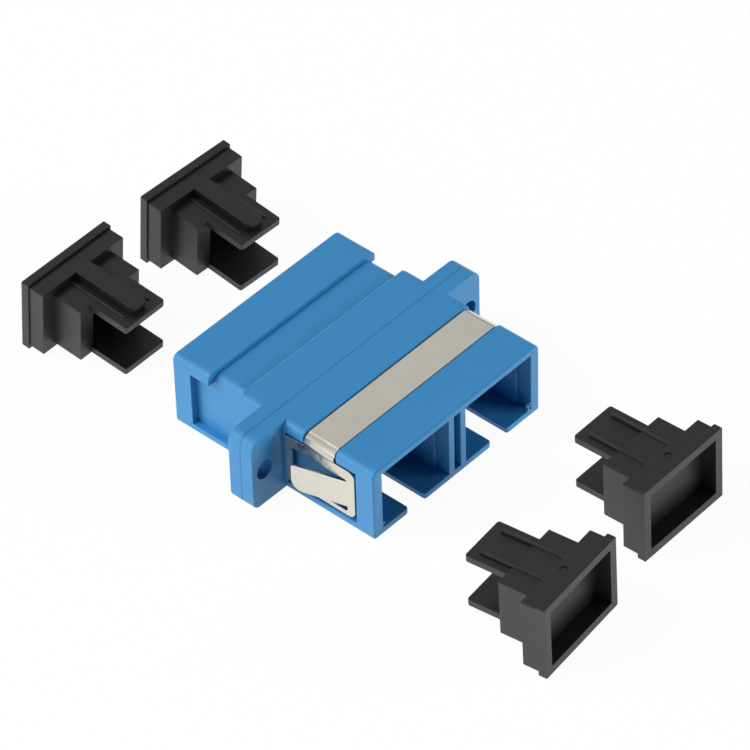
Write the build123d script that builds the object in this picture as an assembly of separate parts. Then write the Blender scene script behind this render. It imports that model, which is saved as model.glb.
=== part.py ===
from build123d import *
from math import atan, cos, degrees, sin
import os

os.makedirs("parts", exist_ok=True)

# Two-port push-pull fibre adapter with a panel flange, a steel panel clip and four dust caps.
# X runs across the ports, -Y is the clip side (front), +Z is up. The origin is on the underside,
# below the middle of the flange, where the front and rear housings meet. All sizes are in millimetres.

# Ports: a guide that takes the plug, behind a slightly wider mouth
guide_width = 9.3
guide_setback = 1.7
mouth_step = 0.4
port_height = 7.37
keyway_width = 2.4
keyway_length = 10.4
keyway_corner_round = 0.35

# Housing walls around the ports
half_depth = 13.7
floor_wall = 0.85
roof_wall = 0.83
side_wall = 1.3
divider_wall = 2.6
divider_slot_width = 0.93
divider_slot_length = 9.0
top_edge_round = 0.8
bottom_edge_round = 0.3
mouth_edge_round = 0.25

# Flange with its two ears
flange_half_thickness = 1.6
ear_width = 4.73
ear_top_round = 1.3
ear_bottom_round = 0.9
ear_hole_inset = 1.83
ear_hole_radius = 1.15
weld_line_chamfer = 0.08

# Channel over the top and pockets in the sides, for the clip
channel_setback = 2.7
channel_width = 4.35
channel_depth = 0.5
pocket_setback = 0.25
pocket_length = 9.4
pocket_ledge = 0.85
pocket_head = 1.4
pocket_depth = 0.85

# Steel clip
steel_thickness = 0.3
strip_gap_rear = 0.12
strip_gap_front = 0.22
clip_proud_of_side = 0.1
clip_bend_run = 0.85
clip_knee_in = 0.3
clip_knee_down = 0.27
clip_bend_radius = 0.25
leg_end_gap = 0.1
leg_top_gap = 0.1
leg_bottom_gap = 0.55
leg_corner_round = 0.8
leg_rear_corner_round = 0.3
leg_front_bar = 0.95
leg_rear_bar = 0.65
leg_top_bar = 1.3
leg_bottom_bar = 0.55
tab_end_gap = 1.0
tab_spread_angle = 11.0
tab_top_gap = 0.2
tab_bottom_gap = 0.7
tab_taper = 0.7
tab_droop = 0.65
tab_tip_round = 1.2
tab_shoulder_round = 0.35

# Split sleeve
sleeve_bore_radius = 1.25
sleeve_wall = 0.35
sleeve_length = 11.4
sleeve_slit = 0.5
sleeve_edge_chamfer = 0.12

# Latch: a plate with the sleeve's tube and two hook arms, and the web that holds it in its housing
sleeve_clearance = 0.05
sleeve_end_play = 0.15
tube_wall = 0.55
tube_lip_thickness = 0.5
tube_lip_drop = 0.2
tube_window_gap = 0.8
plate_thickness = 1.2
plate_clearance = 0.05
web_thickness = 1.0
web_overlap = 0.45
hook_arm_side_gap = 0.8
hook_arm_thickness = 0.8
hook_arm_height = 2.6
hook_arm_reach = 9.4
hook_nose = 0.6
hook_nose_length = 1.3
hook_nose_flat = 0.4

# Dust cap: flange, collar, plug and two tongues
cap_neighbour_gap = 0.2
cap_flange_thickness = 0.97
cap_flange_side_lip = 0.18
cap_flange_key_lip = 0.34
cap_flange_plain_lip = 0.4
cap_collar_length = 1.94
cap_collar_plain_step = 0.56
cap_plug_clearance = 0.2
cap_plug_length = 3.78
cap_tongue_length = 5.02
cap_tongue_width = 5.84
cap_tongue_thickness = 0.81
cap_tongue_step = 0.2
cap_tongue_round = 0.3
cap_core_side_wall = 1.95
cap_core_depth = 3.0
cap_pocket_rim = 1.05
cap_pocket_depth = 1.9
cap_edge_round = 0.15
key_clearance = 0.1
key_height = 0.97
key_end_gap = 0.7
key_end_round = 0.7
cap_rib_width = 0.4
cap_rib_height = 0.2
cap_rib_spacing = 3.6
cap_rib_end_gap = 1.1
eject_mark_radius = 0.45
eject_mark_depth = 0.1

# Where each loose cap lies: X and Y of the plug's root, and how far it is turned about Z
rear_left_cap_place = (-8.56, 30.84, 0.6)
rear_right_cap_place = (9.09, 30.48, -1.8)
front_left_cap_place = (-10.42, -35.46, 6.1)
front_right_cap_place = (8.6, -33.01, 0.8)

# How far a cutting block runs past the face that it cuts, and how close two places count as the same
cut_slack = 1.0
same_place = 0.01

# Housing sizes that follow from those above. The port pitch comes to 12.7, the body to 25.4 by 9.05.
mouth_width = guide_width + 2 * mouth_step
port_pitch = mouth_width + divider_wall
port_centres = (-port_pitch / 2, port_pitch / 2)
port_axis_height = floor_wall + port_height / 2
port_top = floor_wall + port_height
body_height = port_top + roof_wall
body_half_width = port_pitch / 2 + mouth_width / 2 + side_wall
flange_half_width = body_half_width + ear_width
ear_hole_place = flange_half_width - ear_hole_inset

# The same for the clip's seat
channel_near = flange_half_thickness + channel_setback
channel_far = channel_near + channel_width
channel_base = body_height - channel_depth
pocket_near = flange_half_thickness + pocket_setback
pocket_far = pocket_near + pocket_length
pocket_top = body_height - pocket_head
core_half_width = body_half_width - pocket_depth
clip_half_width = body_half_width + clip_proud_of_side

# The same for the latch and its seat
sleeve_radius = sleeve_bore_radius + sleeve_wall
tube_bore = sleeve_radius + sleeve_clearance
tube_radius = tube_bore + tube_wall
plate_half_width = guide_width / 2 - plate_clearance
window_half_width = plate_half_width - web_overlap
window_half_height = tube_radius + tube_window_gap
plate_half_height = window_half_height + web_overlap
web_front = plate_thickness + web_thickness


def block(x, y, z):
    """A box from the low and high end of its reach along each axis."""
    middle = Pos((x[0] + x[1]) / 2, (y[0] + y[1]) / 2, (z[0] + z[1]) / 2)
    return middle * Box(x[1] - x[0], y[1] - y[0], z[1] - z[0])


def about(centre, half_width):
    """The low and high end of a reach that is centred on a place."""
    return (centre - half_width, centre + half_width)


def both_sides(solid):
    """A solid together with its mirror image across the middle of the adapter."""
    return solid + mirror(solid, Plane.YZ)


# Outer shell of one housing: body with rounded edges, and half of the flange
def housing_shell():
    body = block(about(0, body_half_width), (-half_depth, -flange_half_thickness / 2), (0, body_height))
    long_edges = body.edges().filter_by(Axis.Y).group_by(Axis.Z)
    body = fillet(long_edges[-1], top_edge_round)
    body = fillet(body.edges().filter_by(Axis.Y).group_by(Axis.Z)[0], bottom_edge_round)
    body = fillet(body.faces().sort_by(Axis.Y)[0].edges(), mouth_edge_round)
    outline = Pos(0, body_height / 2) * Rectangle(2 * flange_half_width, body_height)
    outline = fillet(outline.vertices().group_by(Axis.Y)[-1], ear_top_round)
    outline = fillet(outline.vertices().group_by(Axis.Y)[0], ear_bottom_round)
    flange = extrude(Plane.XZ * outline, flange_half_thickness)
    seam = flange.faces().sort_by(Axis.Y)[-1].edges()
    upper_seam = seam.filter_by(lambda edge: edge.center().Z > ear_bottom_round)
    flange = chamfer(upper_seam, weld_line_chamfer)
    ear_hole = Cylinder(ear_hole_radius, 2 * (flange_half_thickness + cut_slack))
    ear_hole = Pos(ear_hole_place, 0, body_height / 2) * Rot(90, 0, 0) * ear_hole
    return body + flange - both_sides(ear_hole)


# Core that is left under the clip: lower and narrower than the body
def clip_core():
    outline = Pos(0, channel_base / 2) * Rectangle(2 * core_half_width, channel_base)
    outline = fillet(outline.vertices().group_by(Axis.Y)[-1], top_edge_round)
    return extrude(Plane.XZ * outline, channel_far + cut_slack)


# Channel over the top and a pocket in each side
def clip_recesses():
    outside = body_half_width + cut_slack
    channel_z = (pocket_ledge, body_height + cut_slack)
    channel = block(about(0, outside), (-channel_far, -channel_near), channel_z)
    pocket = block((core_half_width, outside), (-pocket_far, -pocket_near), (pocket_ledge, pocket_top))
    return (channel - clip_core()) + both_sides(pocket)


# Inside of one port, from the mouth to the back of the latch's seat
def port_hollow(centre):
    before_mouth = -half_depth - cut_slack
    port_z = (floor_wall, port_top)
    seat_z = about(port_axis_height, plate_half_height + plate_clearance)
    window_z = about(port_axis_height, window_half_height)
    mouth = block(about(centre, mouth_width / 2), (before_mouth, -half_depth + guide_setback), port_z)
    guide = block(about(centre, guide_width / 2), (-half_depth, -web_front), port_z)
    window = block(about(centre, window_half_width), (-web_front - cut_slack, 0), window_z)
    seat = block(about(centre, guide_width / 2), (-plate_thickness, cut_slack), seat_z)
    keyway_y = (before_mouth, -half_depth + keyway_length)
    keyway = block(about(centre, keyway_width / 2), keyway_y, (-cut_slack, port_axis_height))
    return mouth + guide + window + seat + keyway


def at_keyway_corner(edge):
    """True for the upright edges where a keyway opens in the front face."""
    place = edge.center()
    beside_keyway = any(abs(abs(place.X - centre) - keyway_width / 2) < same_place for centre in port_centres)
    return beside_keyway and place.Z < floor_wall and place.Y < -half_depth + mouth_edge_round + same_place


def housing():
    """The front housing. The rear one is the same moulding, turned half a turn about Z."""
    solid = housing_shell() - clip_recesses()
    for centre in port_centres:
        solid = solid - port_hollow(centre)
    slot_y = (-half_depth - cut_slack, -half_depth + divider_slot_length)
    solid = solid - block(about(0, divider_slot_width / 2), slot_y, (floor_wall, port_top))
    keyway_corners = solid.edges().filter_by(Axis.Z).filter_by(at_keyway_corner)
    return fillet(keyway_corners, keyway_corner_round)


# Steel clip: one strip over the top, bent down into a leg on each side
def clip_strip():
    top = channel_base + steel_thickness / 2
    side = clip_half_width - steel_thickness / 2
    foot = pocket_top - leg_top_bar / 2
    half_line = [
        (0, top),
        (side - clip_bend_run, top),
        (side - clip_knee_in, top - clip_knee_down),
        (side, top - clip_bend_run),
        (side, foot),
    ]
    other_half = [(-x, z) for x, z in reversed(half_line[1:])]
    line = FilletPolyline(*other_half, *half_line[1:], radius=clip_bend_radius)
    band = trace(line, steel_thickness)
    strip_near = channel_near + strip_gap_rear
    strip_far = channel_far - strip_gap_front
    return Pos(0, -strip_near, 0) * extrude(Plane.XZ * band, strip_far - strip_near)


def clip_leg():
    """The left leg, with its window and the tab that is bent out of it."""
    near = -pocket_near - leg_end_gap
    far = -pocket_far + leg_end_gap
    low = pocket_ledge + leg_bottom_gap
    high = pocket_top - leg_top_gap
    outline = Pos((near + far) / 2, (low + high) / 2) * Rectangle(near - far, high - low)
    outline = fillet(outline.vertices().group_by(Axis.X)[0], leg_corner_round)
    outline = fillet(outline.vertices().group_by(Axis.X)[-1], leg_rear_corner_round)
    window_low = low + leg_bottom_bar
    window_high = high - leg_top_bar
    window_near = near - leg_rear_bar
    hinge = far + leg_front_bar
    window = Rectangle(window_near - hinge, window_high - window_low)
    window = Pos((hinge + window_near) / 2, (window_low + window_high) / 2) * window
    window = fillet(window.vertices(), tab_shoulder_round)
    leg = extrude(Plane.YZ * (outline - window), steel_thickness)
    tab_length = window_near - hinge - tab_end_gap
    tab_high = window_high - tab_top_gap
    tab_low = window_low + tab_bottom_gap
    root = -leg_front_bar / 2
    tab_corners = [
        (root, tab_low),
        (0, tab_low),
        (tab_length, tab_low - tab_droop),
        (tab_length, tab_high - tab_taper),
        (0, tab_high),
        (root, tab_high),
    ]
    tab_outline = make_face(Polyline(*tab_corners, close=True))
    tip = tab_outline.vertices().group_by(Axis.X)[-1].sort_by(Axis.Y)
    tab_outline = fillet(tip[-1], tab_shoulder_round)
    tip = tab_outline.vertices().group_by(Axis.X)[-1].sort_by(Axis.Y)
    tab_outline = fillet(tip[0], tab_tip_round)
    tab = extrude(Plane.YZ * tab_outline, steel_thickness)
    tab = Pos(0, hinge, 0) * Rot(0, 0, tab_spread_angle) * tab
    bar = block((0, steel_thickness), (hinge + root / 2, hinge), (tab_low, tab_high))
    return Pos(-clip_half_width, 0, 0) * (leg + tab + bar)


def panel_clip():
    return clip_strip() + both_sides(clip_leg())


def rod(radius, length):
    """A cylinder along -Y, from Y = 0."""
    return Rot(90, 0, 0) * Cylinder(radius, length, align=(Align.CENTER, Align.CENTER, Align.MIN))


# Latch moulding, on its port's axis, with the plate's back at Y = 0
def latch():
    tube_end = sleeve_length / 2 + sleeve_end_play
    tube_length = tube_end + tube_lip_thickness
    plate = block(about(0, plate_half_width), (-plate_thickness, 0), about(0, plate_half_height))
    solid = plate + rod(tube_radius, tube_length) - rod(tube_bore, tube_end)
    solid = solid - rod(tube_bore - tube_lip_drop, tube_length + cut_slack)
    outer = guide_width / 2 - hook_arm_side_gap
    inner = outer - hook_arm_thickness
    nose_back = -hook_arm_reach + hook_nose_length
    arm_corners = [
        (inner, -plate_thickness / 2),
        (inner, nose_back),
        (inner - hook_nose, nose_back),
        (inner - hook_nose, nose_back - hook_nose_flat),
        (inner, -hook_arm_reach),
        (outer, -hook_arm_reach),
        (outer, -plate_thickness / 2),
    ]
    arm = extrude(make_face(Polyline(*arm_corners, close=True)), hook_arm_height)
    return solid + both_sides(Pos(0, 0, -hook_arm_height / 2) * arm)


# Split sleeve, lying along Y, with its slit on top
def split_sleeve():
    sleeve = Rot(90, 0, 0) * Cylinder(sleeve_radius, sleeve_length)
    sleeve = chamfer(sleeve.edges().filter_by(GeomType.CIRCLE), sleeve_edge_chamfer)
    sleeve = sleeve - Rot(90, 0, 0) * Cylinder(sleeve_bore_radius, sleeve_length + cut_slack)
    return sleeve - block(about(0, sleeve_slit / 2), about(0, sleeve_length), (0, 2 * sleeve_radius))


# Dust cap, key side up, plug pointing to -Y. Y = 0 is the collar's face, which meets the housing.
cap_flange_half_width = (port_pitch - cap_neighbour_gap) / 2
cap_collar_half_width = cap_flange_half_width - cap_flange_side_lip
cap_plug_half_width = guide_width / 2 - cap_plug_clearance
cap_plug_low = -cap_tongue_step
cap_plug_high = cap_plug_low + port_height - 2 * cap_plug_clearance
cap_collar_low = cap_plug_low - cap_collar_plain_step
cap_collar_high = cap_plug_high + key_height
cap_flange_low = cap_collar_low - cap_flange_plain_lip
cap_flange_high = cap_collar_high + cap_flange_key_lip
cap_tip = cap_plug_length + cap_tongue_length
cap_back = cap_collar_length + cap_flange_thickness
key_end = cap_tip - key_end_gap
cap_rib_end = cap_tip - cap_rib_end_gap
cap_rib_low = cap_plug_low - cap_rib_height


def cap_tongue(low):
    along = (-cap_tip, -cap_plug_length / 2)
    tongue = block(about(0, cap_tongue_width / 2), along, (low, low + cap_tongue_thickness))
    tip_corners = tongue.edges().filter_by(Axis.Z).group_by(Axis.Y)[0]
    return fillet(tip_corners, cap_tongue_round)


def rounded_block(half_width, y, z):
    """A block of the cap whose four long edges are rounded."""
    solid = block(about(0, half_width), y, z)
    return fillet(solid.edges().filter_by(Axis.Y), cap_edge_round)


def dust_cap():
    inside_plug = cap_plug_high - cap_tongue_thickness
    flange_z = (cap_flange_low, cap_flange_high)
    flange = rounded_block(cap_flange_half_width, (cap_collar_length, cap_back), flange_z)
    collar = rounded_block(cap_collar_half_width, (0, cap_collar_length), (cap_collar_low, cap_collar_high))
    plug = rounded_block(cap_plug_half_width, (-cap_plug_length, 0), (cap_plug_low, cap_plug_high))
    key_half_width = keyway_width / 2 - key_clearance
    key = block(about(0, key_half_width), (-key_end, 0), (inside_plug, cap_collar_high))
    key = fillet(key.edges().filter_by(Axis.Z).group_by(Axis.Y)[0], key_end_round)
    solid = flange + collar + plug + key + cap_tongue(0) + cap_tongue(inside_plug)
    pocket = block(
        about(0, cap_flange_half_width - cap_pocket_rim),
        (cap_back - cap_pocket_depth, cap_back + cut_slack),
        (cap_flange_low + cap_pocket_rim, cap_flange_high - cap_pocket_rim),
    )
    hollow_half_width = cap_plug_half_width - cap_core_side_wall
    core_y = (-cap_plug_length - cut_slack, -cap_plug_length + cap_core_depth)
    core = block(about(0, hollow_half_width), core_y, (cap_tongue_thickness, inside_plug))
    eject_mark = Cylinder(eject_mark_radius, 2 * eject_mark_depth)
    eject_mark = Pos(0, cap_collar_length / 2, cap_collar_low) * eject_mark
    solid = solid - pocket - core - eject_mark
    for x in (-cap_rib_spacing / 2, cap_rib_spacing / 2):
        across = about(x, cap_rib_width / 2)
        along = (-cap_rib_end, 0)
        solid = solid + block(across, along, (inside_plug, cap_plug_high + cap_rib_height))
        solid = solid + block(across, along, (cap_rib_low, cap_tongue_thickness))
    return solid


# Resting poses of a loose cap. Key up it stands on its flange's lower edge and the ends of its lower
# ribs. Key down it stands on the flange's other edge and the end of its key.
key_up_tilt = atan((cap_rib_low - cap_flange_low) / (cap_collar_length + cap_rib_end))
key_up_lift = cap_rib_end * sin(key_up_tilt) - cap_rib_low * cos(key_up_tilt)
key_down_tilt = atan((cap_flange_high - cap_collar_high) / (cap_collar_length + key_end))
key_down_lift = cap_flange_high * cos(key_down_tilt) - cap_collar_length * sin(key_down_tilt)


def cap_key_up(place):
    x, y, turn = place
    return Pos(x, y, key_up_lift) * Rot(0, 0, turn) * Rot(degrees(key_up_tilt), 0, 0) * dust_cap()


def cap_key_down(place):
    x, y, turn = place
    tilt = Rot(180 - degrees(key_down_tilt), 0, 0)
    return Pos(x, y, key_down_lift) * Rot(0, 0, turn) * tilt * dust_cap()


half_turn = Rot(0, 0, 180)
pieces = {
    "front_housing": housing(),
    "rear_housing": half_turn * housing(),
    "panel_clip": panel_clip(),
    "front_left_dust_cap": cap_key_down(front_left_cap_place),
    "front_right_dust_cap": cap_key_down(front_right_cap_place),
    "rear_left_dust_cap": cap_key_up(rear_left_cap_place),
    "rear_right_dust_cap": cap_key_up(rear_right_cap_place),
}
for side, centre in zip(("left", "right"), port_centres):
    at_port = Pos(centre, 0, port_axis_height)
    pieces[side + "_front_latch"] = at_port * latch()
    pieces[side + "_rear_latch"] = at_port * half_turn * latch()
    pieces[side + "_split_sleeve"] = at_port * split_sleeve()

for name, piece in pieces.items():
    export_step(piece, os.path.join("parts", name + ".step"))
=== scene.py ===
from math import cos, radians, sin

import bmesh
import bpy
from mathutils import Matrix, Vector


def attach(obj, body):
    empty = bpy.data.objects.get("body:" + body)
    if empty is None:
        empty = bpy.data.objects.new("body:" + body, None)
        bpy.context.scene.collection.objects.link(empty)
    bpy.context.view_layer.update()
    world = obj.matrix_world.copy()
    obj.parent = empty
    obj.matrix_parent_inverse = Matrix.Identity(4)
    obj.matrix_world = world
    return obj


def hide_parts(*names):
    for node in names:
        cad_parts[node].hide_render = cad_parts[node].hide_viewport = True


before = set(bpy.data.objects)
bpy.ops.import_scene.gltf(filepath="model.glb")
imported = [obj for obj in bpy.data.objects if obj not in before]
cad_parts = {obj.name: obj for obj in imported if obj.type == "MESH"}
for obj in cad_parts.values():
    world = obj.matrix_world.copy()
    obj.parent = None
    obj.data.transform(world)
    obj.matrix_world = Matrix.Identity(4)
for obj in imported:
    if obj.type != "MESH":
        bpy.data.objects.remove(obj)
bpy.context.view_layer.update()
scene = bpy.context.scene
scene.view_settings.view_transform = "Standard"
mm = 0.001

# The camera stands where the photograph was taken from: left of the front ports and well above
# them, with a long lens. Its place was fitted to the corners of the adapter.
camera_azimuth = radians(-47.148)
camera_elevation = radians(42.704)
camera_roll = radians(-1.746)
camera_distance = 550.2 * mm
camera_aim = Vector((0, 31.63 * mm, 0))
camera_shift = Vector((25.41 * mm, -9.86 * mm))
camera_sees_from = 10 * mm
sensor_width = 36
focal_pixels = 5198
image_pixels = 750

back = Vector((
    sin(camera_azimuth) * cos(camera_elevation),
    -cos(camera_azimuth) * cos(camera_elevation),
    sin(camera_elevation),
))
level_right = Vector((cos(camera_azimuth), sin(camera_azimuth), 0))
level_up = back.cross(level_right)
right = cos(camera_roll) * level_right + sin(camera_roll) * level_up
up = cos(camera_roll) * level_up - sin(camera_roll) * level_right

camera_data = bpy.data.cameras.new("camera")
camera_data.sensor_width = sensor_width
camera_data.lens = focal_pixels / image_pixels * sensor_width
camera_data.clip_start = camera_sees_from
camera = bpy.data.objects.new("camera", camera_data)
scene.collection.objects.link(camera)
camera.rotation_euler = Matrix((right, up, back)).transposed().to_euler()
camera.location = (
    camera_aim + camera_shift.x * right + camera_shift.y * up + camera_distance * back)
scene.camera = camera


# The studio: a wide sweep of white paper under a dim ceiling, with softboxes around. The camera,
# the steel and the gloss of the mouldings see the paper as plain white. It keeps the object's soft
# shadow, and the light that it throws back onto the object carries only a part of that shadow.
sweep_colour = "#F6F6F4"
sweep_glow = "#FFFFFF"
sweep_size = 6000 * mm
sweep_gap = 0.02 * mm

# The share of the object's shadow that the camera sees on the paper, and that its bounces carry.
shadow_in_view = 0.05
shadow_in_bounce = 0.4

# How bright the horizon and the ceiling are in the gloss, how steep a look up has to be to meet
# the ceiling, and how much the ceiling lights everything else.
horizon_in_gloss = 1.0
ceiling_in_gloss = 0.2
ceiling_starts = 0.35
ceiling_fill = 0.03
ceiling_colour = "#FFFFFF"


def linear(code):
    """The linear colour of an sRGB hex code."""
    channels = [int(code[i:i + 2], 16) / 255 for i in (1, 3, 5)]
    return [c / 12.92 if c <= 0.04045 else ((c + 0.055) / 1.055) ** 2.4 for c in channels] + [1.0]


def add(tree, kind, inputs=None, **settings):
    """Adds a node with its settings. Each input gets a value, or a link from another socket."""
    node = tree.nodes.new(kind)
    for name, value in settings.items():
        setattr(node, name, value)
    for name, value in (inputs or {}).items():
        if isinstance(value, bpy.types.NodeSocket):
            tree.links.new(value, node.inputs[name])
        else:
            node.inputs[name].default_value = value
    return node


def blank_material(name):
    """A new material whose node tree is still empty."""
    material = bpy.data.materials.new(name)
    material.use_nodes = True
    material.node_tree.nodes.clear()
    return material


world = bpy.data.worlds.new("studio")
scene.world = world
world.use_nodes = True
world.cycles.sampling_method = "NONE"
tree = world.node_tree
tree.nodes.clear()
ray = add(tree, "ShaderNodeLightPath").outputs
plain_view = add(tree, "ShaderNodeMath", {
    0: ray["Is Camera Ray"],
    1: ray["Is Transmission Ray"],
}, operation="MAXIMUM")
direction = add(tree, "ShaderNodeTexCoord").outputs["Generated"]
height = add(tree, "ShaderNodeSeparateXYZ", {0: direction})
in_gloss = add(tree, "ShaderNodeMapRange", {
    "Value": height.outputs["Z"],
    "From Max": ceiling_starts,
    "To Min": horizon_in_gloss,
    "To Max": ceiling_in_gloss,
})
# A Mix node has its factor in socket 0. Sockets 2 and 3 are its two numbers, 6 and 7 its colours.
gloss_or_fill = add(tree, "ShaderNodeMix", {
    0: ray["Is Glossy Ray"],
    2: ceiling_fill,
    3: in_gloss.outputs[0],
})
strength = add(tree, "ShaderNodeMix", {
    0: plain_view.outputs[0],
    2: gloss_or_fill.outputs[0],
    3: 1.0,
})
background = add(tree, "ShaderNodeBackground", {
    "Color": linear(ceiling_colour),
    "Strength": strength.outputs[0],
})
add(tree, "ShaderNodeOutputWorld", {"Surface": background.outputs[0]})

sweep_mesh = bpy.data.meshes.new("sweep")
half = sweep_size / 2
sweep_corners = [(-half, -half), (half, -half), (half, half), (-half, half)]
sweep_mesh.from_pydata([(x, y, -sweep_gap) for x, y in sweep_corners], [], [(0, 1, 2, 3)])
sweep = bpy.data.objects.new("sweep", sweep_mesh)
scene.collection.objects.link(sweep)

# Matt white paper, lit so evenly that the eye takes it for a blank ground. It glows for most of
# its brightness, and the rest is lit by the lamps and holds the shadow.
paper = blank_material("white paper sweep")
paper.cycles.emission_sampling = "NONE"
tree = paper.node_tree
ray = add(tree, "ShaderNodeLightPath").outputs
plain_view = add(tree, "ShaderNodeMath", {
    0: ray["Is Camera Ray"],
    1: ray["Is Transmission Ray"],
}, operation="MAXIMUM")
glow_in_view = add(tree, "ShaderNodeMath", {
    0: plain_view.outputs[0],
    1: 1 - shadow_in_view,
}, operation="MULTIPLY")
bounced = add(tree, "ShaderNodeMath", {
    0: ray["Is Glossy Ray"],
    1: ray["Is Diffuse Ray"],
}, operation="MAXIMUM")
share_of_glow = add(tree, "ShaderNodeMath", {
    0: bounced.outputs[0],
    1: 1 - shadow_in_bounce,
    2: glow_in_view.outputs[0],
}, operation="MULTIPLY_ADD")
diffuse = add(tree, "ShaderNodeBsdfDiffuse", {"Color": linear(sweep_colour)})
glow = add(tree, "ShaderNodeEmission", {"Color": linear(sweep_glow), "Strength": 1.0})
paper_mix = add(tree, "ShaderNodeMixShader", {
    0: share_of_glow.outputs[0],
    1: diffuse.outputs[0],
    2: glow.outputs[0],
})
add(tree, "ShaderNodeOutputMaterial", {"Surface": paper_mix.outputs[0]})
sweep_mesh.materials.append(paper)


def softbox(name, place, size, watts, colour, in_gloss=True):
    """A square lamp that looks at the middle of the object, with its place and size in metres."""
    data = bpy.data.lights.new(name, "AREA")
    data.shape = "SQUARE"
    data.size = size
    data.energy = watts
    data.color = linear(colour)[:3]
    lamp = bpy.data.objects.new(name, data)
    scene.collection.objects.link(lamp)
    lamp.location = Vector(place)
    lamp.rotation_euler = (-Vector(place)).to_track_quat("-Z", "Y").to_euler()
    lamp.visible_glossy = in_gloss


# Three softboxes light the blue and black plastic and are kept out of its gloss. Four small
# reflectors are there for the steel, and brighten the places that they are named for. Each lamp
# has its place, size, watts and colour.
softbox("key softbox", (-0.65, 0.65, 0.42), 0.8, 9.4, "#FFF8EE", in_gloss=False)
softbox("high softbox", (-0.6, 0.25, 0.65), 0.8, 6.0, "#FFFFFF", in_gloss=False)
softbox("front fill softbox", (0.65, -0.8, 0.24), 0.5, 11.5, "#FFFBF4", in_gloss=False)
softbox("knee reflector", (-0.55, 0.5, 0.55), 0.5, 0.5, "#FFFFFF")
softbox("strip reflector", (0.49, 0.45, 0.61), 0.2, 0.064, "#FFFFFF")
softbox("crease reflector", (0.155, 0.45, 0.76), 0.3, 0.35, "#FFFFFF")
softbox("bend reflector", (-0.185, 0.45, 0.76), 0.3, 0.15, "#FFFFFF")


# Housings: the front and rear housing are one blue moulding, used twice and welded back to back.
# It is PBT, injected into a steel mould with a finely eroded skin, and its outer edges come out
# slightly rounded.
housing_blue = "#3484BD"
housing_blue_deep = "#307DB6"
housing_roughness = 0.38
housing_edge = 0.08 * mm
flow_marks = 6 * mm
flow_swirl = 1.5
roughness_drift = (-0.04, 0.05)
plastic_ior = 1.55

# The grain of an eroded mould is about 0.03 mm wide, too fine to show here. It is drawn four times
# as coarse, so that it just breaks up the highlights.
mould_grain = 0.12 * mm
mould_grain_depth = 0.01 * mm
mould_grain_strength = 0.25

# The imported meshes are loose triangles. Points closer than the merge distance become one, faces
# that lie within the flat angle are joined, and those that a hole keeps apart are cut afresh.
merge_distance = 0.001 * mm
flat_angle = radians(0.5)
still_flat_angle = radians(0.6)
sharp_angle = radians(32)
hole_wall_angles = (radians(-28), radians(-3))
smooth_angle = radians(48)
edge_segments = 2
ridge_segments = 3


def moulded_plastic(name, colour, deep_colour, roughness, grain, flow, shine=0.5):
    """A grained plastic skin. Its tint and gloss drift a little where the melt flowed."""
    material = blank_material(name)
    tree = material.node_tree
    place = add(tree, "ShaderNodeTexCoord").outputs["Object"]
    skin = add(tree, "ShaderNodeTexNoise", {"Vector": place, "Scale": 1 / grain, "Detail": 3.0})
    grained = add(tree, "ShaderNodeBump", {
        "Height": skin.outputs[0],
        "Distance": mould_grain_depth,
        "Strength": mould_grain_strength,
    })
    swirl = add(tree, "ShaderNodeTexNoise", {
        "Vector": place,
        "Scale": 1 / flow,
        "Detail": 4.0,
        "Distortion": flow_swirl,
    })
    tint = add(tree, "ShaderNodeMix", {
        0: swirl.outputs[0],
        6: linear(colour),
        7: linear(deep_colour),
    }, data_type="RGBA")
    gloss = add(tree, "ShaderNodeMapRange", {
        "Value": swirl.outputs[0],
        "To Min": roughness + roughness_drift[0],
        "To Max": roughness + roughness_drift[1],
    })
    shader = add(tree, "ShaderNodeBsdfPrincipled", {
        "Base Color": tint.outputs[2],
        "Roughness": gloss.outputs[0],
        "IOR": plastic_ior,
        "Specular IOR Level": shine,
        "Normal": grained.outputs[0],
    })
    add(tree, "ShaderNodeOutputMaterial", {"Surface": shader.outputs[0]})
    return material


def at_round_hole(seam):
    """True where one of the two faces at an edge is the hollow wall of a round hole."""
    least, most = hole_wall_angles
    return any(
        least < side.calc_face_angle_signed(0) < most
        for face in seam.link_faces for side in face.edges)


def sharp_edges(form):
    """The outer edges of a mesh that are sharp, apart from the rims of round holes."""
    return [
        seam for seam in form.edges
        if seam.calc_face_angle_signed() > sharp_angle and not at_round_hole(seam)]


def is_ridge(seam, narrowest, widest):
    """True for an edge between two faces whose widths lie within a range, such as a rib's."""
    return all(
        narrowest < face.calc_area() / max(side.calc_length() for side in face.edges) < widest
        for face in seam.link_faces)


def level_normals(mesh):
    """Shades each corner with the faces around it that lie nearly as its own, larger ones more."""
    around = [[] for vertex in mesh.vertices]
    for face in mesh.polygons:
        for vertex in face.vertices:
            around[vertex].append((face.normal.copy(), face.area))
    normals = []
    for face in mesh.polygons:
        for vertex in face.vertices:
            near = [
                normal * area for normal, area in around[vertex]
                if normal.dot(face.normal) > cos(smooth_angle)]
            normals.append(sum(near, Vector()).normalized() if near else face.normal.copy())
    mesh.normals_split_custom_set(normals)


def round_over(form, seams, reach, segments):
    """Rounds some edges of a mesh."""
    bmesh.ops.bevel(
        form, geom=seams, offset=reach, segments=segments, profile=0.5, affect="EDGES")


def placed(piece, material, body="adapter"):
    """Hangs a finished piece on its body, with its material."""
    piece.data.materials.clear()
    piece.data.materials.append(material)
    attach(piece, body)


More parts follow.
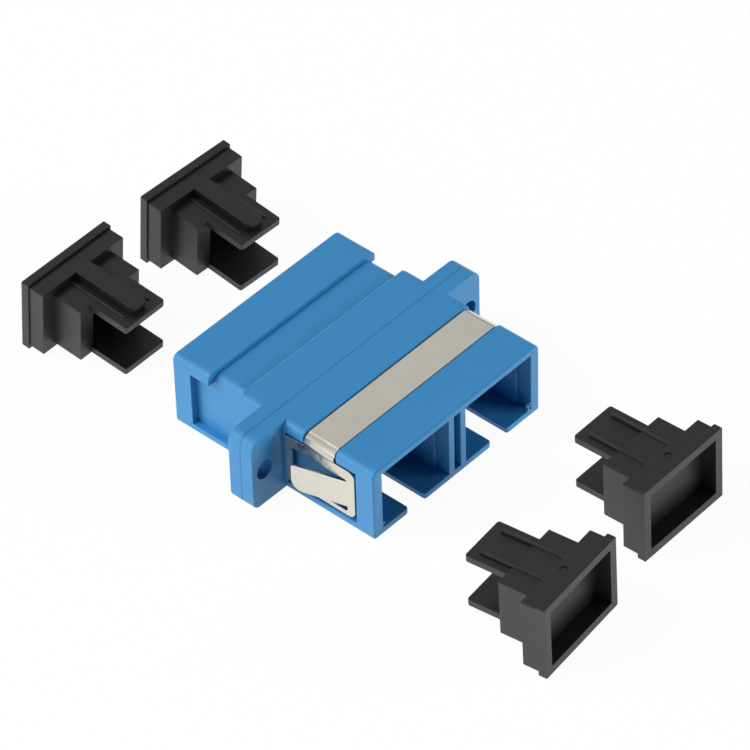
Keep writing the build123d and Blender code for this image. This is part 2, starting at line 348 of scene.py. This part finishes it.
def finished(node, name, edge, material, body="adapter", ridge=None, ridge_round=0):
    """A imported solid's mesh, its flat faces joined and its outer edges rounded, in its place."""
    form = bmesh.new()
    form.from_mesh(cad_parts[node].data)
    bmesh.ops.remove_doubles(form, verts=form.verts, dist=merge_distance)
    bmesh.ops.dissolve_limit(form, angle_limit=flat_angle, verts=form.verts, edges=form.edges)
    kept_apart = {
        face for seam in form.edges if seam.calc_face_angle() < still_flat_angle
        for face in seam.link_faces}
    bmesh.ops.triangulate(form, faces=list(kept_apart), ngon_method="BEAUTY")
    if ridge:
        ridges = [seam for seam in sharp_edges(form) if is_ridge(seam, *ridge)]
        round_over(form, ridges, ridge_round, ridge_segments)
    round_over(form, sharp_edges(form), edge, edge_segments)
    mesh = bpy.data.meshes.new(name)
    form.to_mesh(mesh)
    form.free()
    mesh.shade_smooth()
    level_normals(mesh)
    piece = bpy.data.objects.new(name, mesh)
    scene.collection.objects.link(piece)
    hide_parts(node)
    placed(piece, material, body)


# The satin skin spreads the light, so the eye sees an even blue with wide, weak highlights. The
# flow marks, a few millimetres long, barely shift its tint.
blue_pbt = moulded_plastic(
    "moulded blue PBT", housing_blue, housing_blue_deep, housing_roughness, mould_grain, flow_marks)
for node in ("front_housing", "rear_housing"):
    finished(node, node + "_moulding", housing_edge, blue_pbt)


# Weld seam: ultrasonic welding melts the rims of the two housings together and leaves an uneven
# bead of their own PBT in the groove between them. Geometry Nodes draws it along the outline of
# the flange, except underneath.
flange_half_width = 17.43 * mm
flange_height = 9.05 * mm
ear_round = 1.3 * mm
ear_arc_degrees = 10
bead_foot = 0.95 * mm
bead_sink = 0.075 * mm
bead_radius = 0.1 * mm
bead_step = 0.2 * mm
bead_drift = 0.05 * mm
bead_wave = 0.9 * mm
bead_seed = 7.0
bead_swell = (0.8, 1.15)
usual_noise = (0.3, 0.7)
bead_sides = 8


def node_group(name, sockets):
    """A Geometry Nodes group with named inputs, those inputs and a call that closes it."""
    group = bpy.data.node_groups.new(name, "GeometryNodeTree")
    group.interface.new_socket("Geometry", in_out="INPUT", socket_type="NodeSocketGeometry")
    for label, kind in sockets.items():
        group.interface.new_socket(label, in_out="INPUT", socket_type="NodeSocket" + kind)
    group.interface.new_socket("Geometry", in_out="OUTPUT", socket_type="NodeSocketGeometry")
    given = add(group, "NodeGroupInput").outputs

    def close(geometry):
        """Ends the group with real geometry that has its material."""
        real = add(group, "GeometryNodeRealizeInstances", {"Geometry": geometry})
        painted = add(group, "GeometryNodeSetMaterial", {
            "Geometry": real.outputs[0],
            "Material": given["Material"],
        })
        add(group, "NodeGroupOutput", {"Geometry": painted.outputs[0]})

    return group, given, close


def grown(name, source, group, values, material):
    """The plain mesh that a node group makes from a source mesh, as a piece of the adapter."""
    piece = bpy.data.objects.new(name, source)
    scene.collection.objects.link(piece)
    modifier = piece.modifiers.new(group.name, "NODES")
    modifier.node_group = group
    sockets = {
        item.name: item.identifier
        for item in group.interface.items_tree if item.in_out == "INPUT"}
    for label, value in {**values, "Material": material}.items():
        modifier[sockets[label]] = value
    evaluated = piece.evaluated_get(bpy.context.evaluated_depsgraph_get())
    mesh = bpy.data.meshes.new_from_object(evaluated)
    piece.modifiers.clear()
    piece.data = mesh
    placed(piece, material)


bead, given, close = node_group("bead along a seam", {
    "Radius": "Float",
    "Step": "Float",
    "Drift": "Float",
    "Waves per metre": "Float",
    "Thinnest": "Float",
    "Thickest": "Float",
    "Seed": "Float",
    "Material": "Material",
})
line = add(bead, "GeometryNodeMeshToCurve", {"Mesh": given["Geometry"]})
even_line = add(bead, "GeometryNodeResampleCurve", {
    "Curve": line.outputs[0],
    "Length": given["Step"],
}, mode="LENGTH")
wander = add(bead, "ShaderNodeTexNoise", {
    "Vector": add(bead, "GeometryNodeInputPosition").outputs[0],
    "W": given["Seed"],
    "Scale": given["Waves per metre"],
    "Detail": 2.0,
}, noise_dimensions="4D")
centred = add(bead, "ShaderNodeVectorMath", {
    0: wander.outputs["Color"],
    1: (0.5, 0.5, 0.5),
}, operation="SUBTRACT")
shift = add(bead, "ShaderNodeVectorMath", {
    0: centred.outputs[0],
    "Scale": given["Drift"],
}, operation="SCALE")
uneven_line = add(bead, "GeometryNodeSetPosition", {
    "Geometry": even_line.outputs[0],
    "Offset": shift.outputs[0],
})
swell = add(bead, "ShaderNodeMapRange", {
    "Value": wander.outputs[0],
    "From Min": usual_noise[0],
    "From Max": usual_noise[1],
    "To Min": given["Thinnest"],
    "To Max": given["Thickest"],
})
thickness = add(bead, "ShaderNodeMath", {
    0: swell.outputs[0],
    1: given["Radius"],
}, operation="MULTIPLY")
ring = add(bead, "GeometryNodeCurvePrimitiveCircle", {"Resolution": bead_sides, "Radius": 1.0})
close(add(bead, "GeometryNodeCurveToMesh", {
    "Curve": uneven_line.outputs[0],
    "Profile Curve": ring.outputs[0],
    "Scale": thickness.outputs[0],
    "Fill Caps": True,
}).outputs[0])
bead_shape = {
    "Step": bead_step,
    "Waves per metre": 1 / bead_wave,
    "Thinnest": bead_swell[0],
    "Thickest": bead_swell[1],
    "Seed": bead_seed,
}

seam_side = flange_half_width - bead_sink
seam_top = flange_height - bead_sink
seam_round = ear_round - bead_sink
shoulder = [
    (seam_side - seam_round + seam_round * cos(radians(angle)),
     seam_top - seam_round + seam_round * sin(radians(angle)))
    for angle in range(0, 91, ear_arc_degrees)]
other_shoulder = [(-x, z) for x, z in reversed(shoulder)]
outline = [(seam_side, bead_foot), *shoulder, *other_shoulder, (-seam_side, bead_foot)]
links = [(i, i + 1) for i in range(len(outline) - 1)]
seam_path = bpy.data.meshes.new("seam path")
seam_path.from_pydata([(x, 0, z) for x, z in outline], links, [])
grown("weld_bead", seam_path, bead, {
    **bead_shape,
    "Radius": bead_radius,
    "Drift": bead_drift,
}, blue_pbt)


# Channel lip: a fine raised line of PBT on the channel's edge beside the flange of the rear
# housing. Its paler blue is a painted highlight: the light that this edge catches. The node group
# of the bead draws it as well.
lip_y = 4.3 * mm
lip_half_length = 12.2 * mm
lip_radius = 0.06 * mm
# The lip's two pale blues are the painted highlight.
lip_highlight_blue = "#5FA2D3"
lip_highlight_blue_deep = "#4790C8"
lip_roughness = 0.6
lip_shine = 0.3
lip_mottle = 2 * mm

# The pale blue is a painted highlight on a dull skin, so the eye sees a thin, soft line and no
# glint.
painted_highlight_pbt = moulded_plastic(
    "blue PBT with painted highlight", lip_highlight_blue, lip_highlight_blue_deep, lip_roughness, mould_grain, lip_mottle,
    lip_shine)
lip_path = bpy.data.meshes.new("lip path")
lip_ends = [(x, lip_y, flange_height) for x in (-lip_half_length, lip_half_length)]
lip_path.from_pydata(lip_ends, [(0, 1)], [])
grown("channel_lip", lip_path, bead, {
    **bead_shape,
    "Radius": lip_radius,
    "Drift": lip_radius,
}, painted_highlight_pbt)


# Flash: ragged crumbs of PBT that the closing edges of the mould left at three corners of the
# front mouths, whitened by stress. Geometry Nodes scatters them over small patches of the front
# face. Each patch has its middle, half width and half height in mm, and its number of crumbs.
flash_patches = [
    (11.1, 1.35, 0.5, 0.5, 30),
    (-11.35, 1.3, 0.14, 0.5, 8),
    (-9.2, 0.42, 0.4, 0.12, 8),
]
flash_y = -13.69 * mm
flash_seed = 3
crumb_size = 0.11 * mm
crumb_turns = (6.28, 6.28, 6.28)
crumb_stretch_least = (0.4, 0.3, 0.3)
crumb_stretch_most = (1.7, 1.0, 0.8)
whitened_blue = "#8DB9D6"
whitened_blue_deep = "#5F9CC9"
whitened_roughness = 0.5
whitened_mottle = 0.3 * mm

# Stress whitening scatters the light inside the plastic, so the crumbs look milky and mottled.
whitened_pbt = moulded_plastic(
    "stress-whitened PBT", whitened_blue, whitened_blue_deep, whitened_roughness, mould_grain,
    whitened_mottle)

crumbs, given, close = node_group("crumbs on a patch", {
    "Density": "Float",
    "Size": "Float",
    "Seed": "Int",
    "Material": "Material",
})
spread = add(crumbs, "GeometryNodeDistributePointsOnFaces", {
    "Mesh": given["Geometry"],
    "Density": given["Density"],
    "Seed": given["Seed"],
})
crumb = add(crumbs, "GeometryNodeMeshIcoSphere", {"Radius": given["Size"], "Subdivisions": 1})
turn = add(crumbs, "FunctionNodeRandomValue", {
    "Min": (0, 0, 0),
    "Max": crumb_turns,
    "Seed": given["Seed"],
}, data_type="FLOAT_VECTOR")
stretch = add(crumbs, "FunctionNodeRandomValue", {
    "Min": crumb_stretch_least,
    "Max": crumb_stretch_most,
    "Seed": given["Seed"],
}, data_type="FLOAT_VECTOR")
close(add(crumbs, "GeometryNodeInstanceOnPoints", {
    "Points": spread.outputs[0],
    "Instance": crumb.outputs[0],
    "Rotation": turn.outputs[0],
    "Scale": stretch.outputs[0],
}).outputs[0])

patch_points, patch_faces = [], []
for x, z, wide, tall, count in flash_patches:
    first = len(patch_points)
    for across, upward in ((-wide, -tall), (wide, -tall), (wide, tall), (-wide, tall)):
        patch_points.append(((x + across) * mm, flash_y, (z + upward) * mm))
    patch_faces.append((first, first + 1, first + 2, first + 3))
patches = bpy.data.meshes.new("flash patches")
patches.from_pydata(patch_points, [], patch_faces)
flash_area = sum(4 * wide * tall for _, _, wide, tall, _ in flash_patches) * mm * mm
flash_count = sum(count for *_, count in flash_patches)
grown("mould_flash", patches, crumbs, {
    "Density": flash_count / flash_area,
    "Size": crumb_size,
    "Seed": flash_seed,
}, whitened_pbt)


# Panel clip: one strip of stainless spring steel, blanked from cold-rolled sheet and folded over
# the front housing, with a leg and a tab on each side. Folding draws lines across its bends, and
# the legs stay slightly wavy and lean a little.
clip_edge = 0.04 * mm
steel_colour = "#E4E1D5"
steel_roughness = (0.17, 0.23)
smudge_width = 3 * mm

# Where the bends and the bars of the legs are. The lines that folding draws across the bends show
# at their real width, and so do the waves of the legs.
bend_from_x = 11.8 * mm
bend_down_to_z = 7.7 * mm
bend_fade = 0.2 * mm
draw_line_width = 0.24 * mm
draw_line_length = 6 * mm
draw_line_depth = 0.05 * mm
dent_width = 1.2 * mm
dent_depth = 0.05 * mm
leg_bar_foot_z = 5.2 * mm
leg_bar_fade = 0.6 * mm
leg_lean = 0.07

# The rolling lines of such sheet are about 0.01 mm wide, too fine to show. They are drawn three
# times as coarse, enough to stretch what the steel mirrors across them.
rolled_line_width = 0.03 * mm
rolled_line_length = 1.2 * mm
rolled_line_depth = 0.004 * mm
rolled_line_strength = 0.3

# Bare rolled steel is a warm pale grey that mirrors the paper and the blue beside it, softly. It
# looks bright and streaked on the bend, and the leaning, wavy legs break up the blue in them.
steel = blank_material("rolled stainless spring steel")
tree = steel.node_tree
place = add(tree, "ShaderNodeTexCoord").outputs["Object"]
smudges = add(tree, "ShaderNodeTexNoise", {
    "Vector": place,
    "Scale": 1 / smudge_width,
    "Detail": 3.0,
})
gloss = add(tree, "ShaderNodeMapRange", {
    "Value": smudges.outputs[0],
    "To Min": steel_roughness[0],
    "To Max": steel_roughness[1],
})
along_strip = add(tree, "ShaderNodeMapping", {
    "Vector": place,
    "Scale": (1 / rolled_line_length, 1 / rolled_line_width, 1 / rolled_line_width),
})
rolled_lines = add(tree, "ShaderNodeTexNoise", {
    "Vector": along_strip.outputs[0],
    "Scale": 1.0,
    "Detail": 2.0,
})
rolled = add(tree, "ShaderNodeBump", {
    "Height": rolled_lines.outputs[0],
    "Distance": rolled_line_depth,
    "Strength": rolled_line_strength,
})

sides = add(tree, "ShaderNodeSeparateXYZ", {0: place}).outputs
from_middle = add(tree, "ShaderNodeMath", {0: sides["X"]}, operation="ABSOLUTE")
past_bend = add(tree, "ShaderNodeMapRange", {
    "Value": from_middle.outputs[0],
    "From Min": bend_from_x,
    "From Max": bend_from_x + bend_fade,
})
above_leg = add(tree, "ShaderNodeMapRange", {
    "Value": sides["Z"],
    "From Min": bend_down_to_z - bend_fade,
    "From Max": bend_down_to_z,
})
below_bend = add(tree, "ShaderNodeMath", {0: 1.0, 1: above_leg.outputs[0]}, operation="SUBTRACT")
on_leg = add(tree, "ShaderNodeMath", {
    0: past_bend.outputs[0],
    1: below_bend.outputs[0],
}, operation="MULTIPLY")
dents = add(tree, "ShaderNodeTexNoise", {"Vector": place, "Scale": 1 / dent_width, "Detail": 2.0})
wavy = add(tree, "ShaderNodeBump", {
    "Height": dents.outputs[0],
    "Distance": dent_depth,
    "Strength": on_leg.outputs[0],
    "Normal": rolled.outputs[0],
})
above_tab = add(tree, "ShaderNodeMapRange", {
    "Value": sides["Z"],
    "From Min": leg_bar_foot_z,
    "From Max": leg_bar_foot_z + leg_bar_fade,
})
on_bar = add(tree, "ShaderNodeMath", {
    0: past_bend.outputs[0],
    1: above_tab.outputs[0],
}, operation="MULTIPLY")
fall_in_mm = add(tree, "ShaderNodeMath", {0: sides["Y"], 1: -leg_lean / mm}, operation="MULTIPLY")
leaning = add(tree, "ShaderNodeBump", {
    "Height": fall_in_mm.outputs[0],
    "Distance": mm,
    "Strength": on_bar.outputs[0],
    "Normal": wavy.outputs[0],
})
across_strip = add(tree, "ShaderNodeMapping", {
    "Vector": place,
    "Scale": (1 / draw_line_width, 1 / draw_line_length, 1 / draw_line_width),
})
draw_lines = add(tree, "ShaderNodeTexNoise", {
    "Vector": across_strip.outputs[0],
    "Scale": 1.0,
    "Detail": 1.0,
})
in_bend = add(tree, "ShaderNodeMath", {
    0: past_bend.outputs[0],
    1: above_leg.outputs[0],
}, operation="MULTIPLY")
draw_height = add(tree, "ShaderNodeMath", {
    0: draw_lines.outputs[0],
    1: in_bend.outputs[0],
}, operation="MULTIPLY")
drawn = add(tree, "ShaderNodeBump", {
    "Height": draw_height.outputs[0],
    "Distance": draw_line_depth,
    "Strength": 1.0,
    "Normal": leaning.outputs[0],
})
shader = add(tree, "ShaderNodeBsdfPrincipled", {
    "Base Color": linear(steel_colour),
    "Metallic": 1.0,
    "Roughness": gloss.outputs[0],
    "Normal": drawn.outputs[0],
})
add(tree, "ShaderNodeOutputMaterial", {"Surface": shader.outputs[0]})
finished("panel_clip", "panel_clip_strip", clip_edge, steel)


# Latches: four mouldings inside the ports, each a plate with two hook arms and half of the tube
# that holds a sleeve. They are PBT like the housings, and a pair is held back to back between the
# webs of the two housings.
latch_edge = 0.06 * mm
latch_blue = "#3A6FA3"
latch_blue_deep = "#34699B"
latch_roughness = 0.48

# The latches get a darker, greyer blue than the housings, and a duller skin.
latch_pbt = moulded_plastic(
    "moulded latch PBT", latch_blue, latch_blue_deep, latch_roughness, mould_grain, flow_marks)
for side in ("left", "right"):
    for end in ("front", "rear"):
        node = side + "_" + end + "_latch"
        finished(node, node + "_moulding", latch_edge, latch_pbt)


# Split sleeves: two slit tubes of zirconia that line up the ferrules of two plugs. They are
# sintered, slit along one side and ground inside and out, and each floats between two latches.
sleeve_edge = 0.03 * mm
sleeve_white = "#EFEDE6"
sleeve_roughness = (0.12, 0.2)
zirconia_ior = 2.1

# Grinding marks are a few thousandths of a millimetre wide, too fine to show. They are drawn as
# patches of more and less gloss.
grind_patch = 0.2 * mm

# Dense ground ceramic gives the eye a clean ivory white with small, crisp highlights.
zirconia = blank_material("ground zirconia ceramic")
tree = zirconia.node_tree
place = add(tree, "ShaderNodeTexCoord").outputs["Object"]
grind = add(tree, "ShaderNodeTexNoise", {"Vector": place, "Scale": 1 / grind_patch, "Detail": 2.0})
gloss = add(tree, "ShaderNodeMapRange", {
    "Value": grind.outputs[0],
    "To Min": sleeve_roughness[0],
    "To Max": sleeve_roughness[1],
})
shader = add(tree, "ShaderNodeBsdfPrincipled", {
    "Base Color": linear(sleeve_white),
    "Roughness": gloss.outputs[0],
    "IOR": zirconia_ior,
})
add(tree, "ShaderNodeOutputMaterial", {"Surface": shader.outputs[0]})
for side in ("left", "right"):
    tube = side + "_sleeve_tube"
    finished(side + "_split_sleeve", tube, sleeve_edge, zirconia, side + "_sleeve")


# Dust caps: four plugs of black polyethylene that close the ports, each injected in one piece with
# its key, its tongues and the ribs for the fingers. They have been pulled out and lie beside the
# adapter.
cap_edge = 0.045 * mm
rib_sides = (0.15 * mm, 0.45 * mm)
rib_round = 0.19 * mm
cap_black = "#0E0E0D"
cap_black_soft = "#111110"
cap_roughness = 0.46
cap_shine = 0.8
cap_flow_marks = 5 * mm

# The grain of the caps' mould, about 0.04 mm wide, is also drawn four times as coarse.
cap_grain = 0.15 * mm

# Soft, waxy plastic: a deep black with a broad grey sheen wherever it faces the white paper.
black_pe = moulded_plastic(
    "moulded black polyethylene", cap_black, cap_black_soft, cap_roughness, cap_grain,
    cap_flow_marks, cap_shine)
for end in ("front", "rear"):
    for side in ("left", "right"):
        node = end + "_" + side + "_dust_cap"
        finished(
            node, node + "_moulding", cap_edge, black_pe,
            ridge=rib_sides, ridge_round=rib_round)
